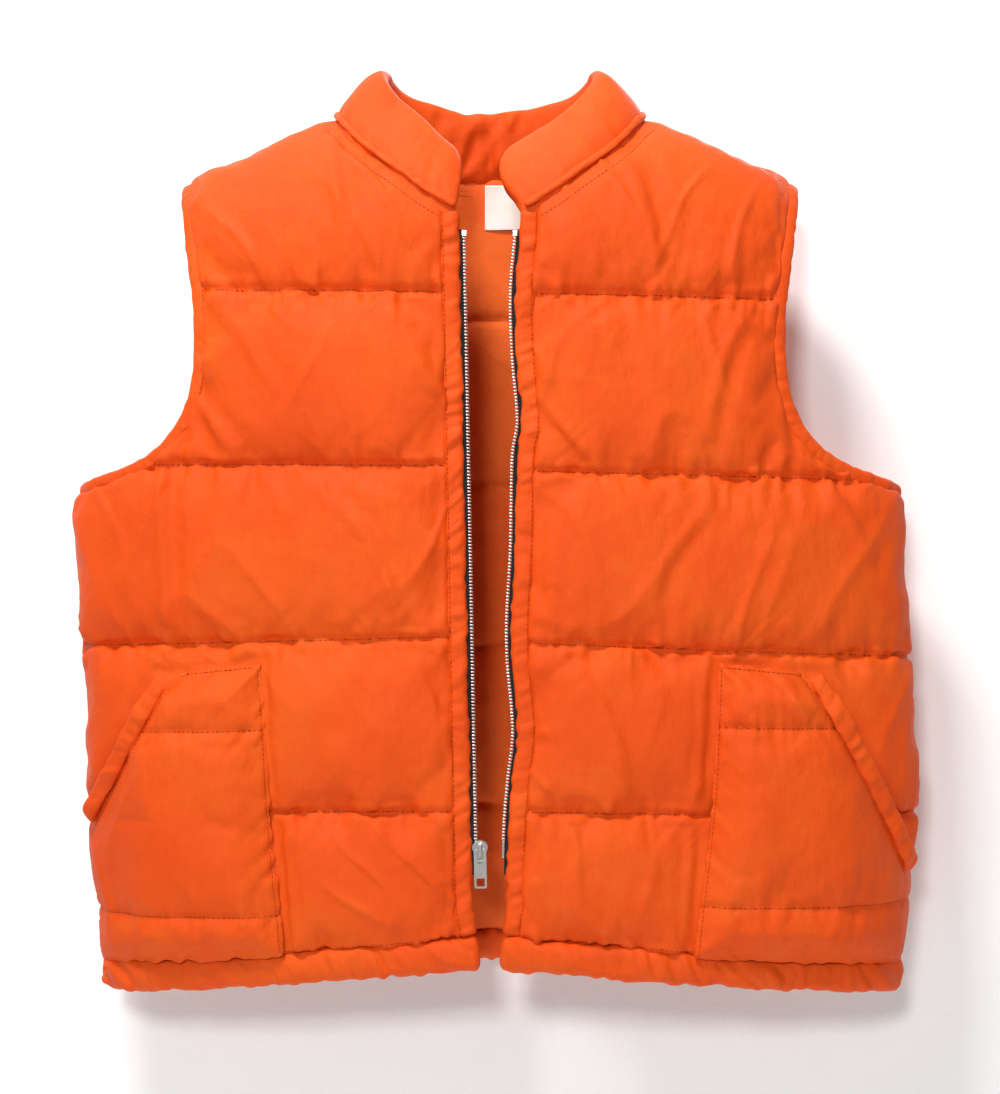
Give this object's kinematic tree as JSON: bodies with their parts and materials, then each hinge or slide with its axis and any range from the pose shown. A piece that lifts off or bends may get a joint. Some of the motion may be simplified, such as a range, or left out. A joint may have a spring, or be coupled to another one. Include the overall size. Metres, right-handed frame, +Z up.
{
  "type": "quilted safety vest",
  "caption": "Padded, quilted high-visibility vest hanging open: stand collar, bound armholes, slanted hand pockets, hem band and a metal front zip.",
  "frame": {"origin": "middle of the neck opening at the height where the shoulder seams meet the collar, where a hanger crosses", "axes": "+Z up, front faces -Y, wearer's left side at +X"},
  "size_m": [0.6123, 0.1496, 0.6594],
  "materials": {
    "shell_cloth": "satin woven taffeta, high-visibility orange",
    "lining_cloth": "plain woven lining, orange",
    "wadding": "polyester fibre wadding",
    "zip_tape": "black woven herringbone tape",
    "zip_teeth": "bright nickel",
    "zip_hardware": "bright nickel, lightly worn",
    "label_cloth": "satin woven label, blank"
  },
  "bodies": {
    "root": {"front_shell_right": "shell_cloth", "front_wadding_right": "wadding", "front_lining_right": "lining_cloth", "front_facing_right": "shell_cloth", "armhole_binding_right": "shell_cloth", "hem_band_front_right": "shell_cloth", "pocket_shell_right": "shell_cloth", "pocket_wadding_right": "wadding", "pocket_lining_right": "lining_cloth", "pocket_mouth_right": "shell_cloth", "front_shell_left": "shell_cloth", "front_wadding_left": "wadding", "front_lining_left": "lining_cloth", "front_facing_left": "shell_cloth", "armhole_binding_left": "shell_cloth", "hem_band_front_left": "shell_cloth", "pocket_shell_left": "shell_cloth", "pocket_wadding_left": "wadding", "pocket_lining_left": "lining_cloth", "pocket_mouth_left": "shell_cloth", "back_shell": "shell_cloth", "back_wadding": "wadding", "back_lining": "lining_cloth", "hem_band_back": "shell_cloth", "collar_outer": "shell_cloth", "collar_wadding": "wadding", "collar_inner": "lining_cloth", "neck_welt": "shell_cloth", "neck_tape": "lining_cloth", "neck_label": "label_cloth", "zip_tape_right": "zip_tape", "zip_teeth_right": "zip_teeth", "zip_top_stop_right": "zip_hardware", "zip_tape_left": "zip_tape", "zip_teeth_left": "zip_teeth", "zip_top_stop_left": "zip_hardware", "zip_retainer_pin": "zip_hardware", "zip_insertion_pin": "zip_hardware", "zip_retainer_box": "zip_hardware"},
    "slider": {"zip_slider": "zip_hardware", "zip_slider_bridge": "zip_hardware"},
    "pull_tab": {"zip_pull_tab": "zip_hardware"}
  },
  "joints": [
    {"name": "slider_slide", "type": "slide", "parent": "root", "child": "slider", "axis": [-0.0192, 0, 0.9998], "range_m": [0, 0.414]},
    {"name": "pull_tab_swing", "type": "hinge", "parent": "slider", "child": "pull_tab", "pos_m": [-0.00658, -0.06455, -0.51445], "axis": [-0.9998, 0, -0.0192], "range_deg": [0, 165]}
  ]
}
